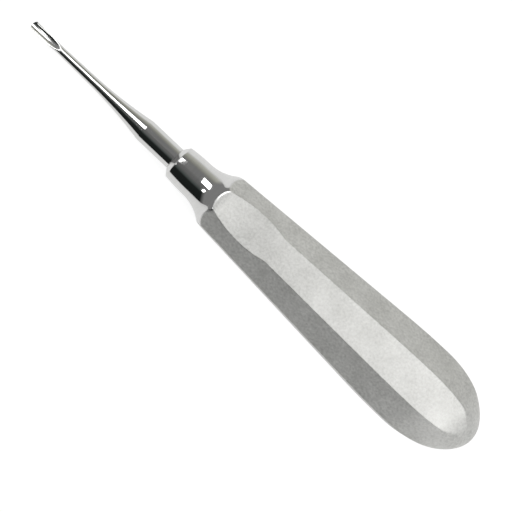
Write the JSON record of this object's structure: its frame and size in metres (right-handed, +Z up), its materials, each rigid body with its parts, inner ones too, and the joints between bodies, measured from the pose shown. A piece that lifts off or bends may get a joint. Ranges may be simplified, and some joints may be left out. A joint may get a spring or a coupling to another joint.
{
  "type": "dental elevator",
  "caption": "Straight dental elevator: a tapered eight-sided blasted handle with a thumb scoop and a polished neck, and a round shank ending in a small gouge blade.",
  "frame": {"origin": "on the surface the instrument lies on, under the middle of its outline", "axes": "+X runs along the instrument from the butt end towards the tip, +Z up, with the facet that holds the thumb scoop on top"},
  "size_m": [0.1496, 0.023, 0.0233],
  "materials": {
    "handle_steel": "fine bead-blasted facets, polished neck and collar",
    "shank_steel": "mirror-polished"
  },
  "bodies": {
    "root": {"handle": "handle_steel", "working_end": "shank_steel"}
  },
  "joints": []
}
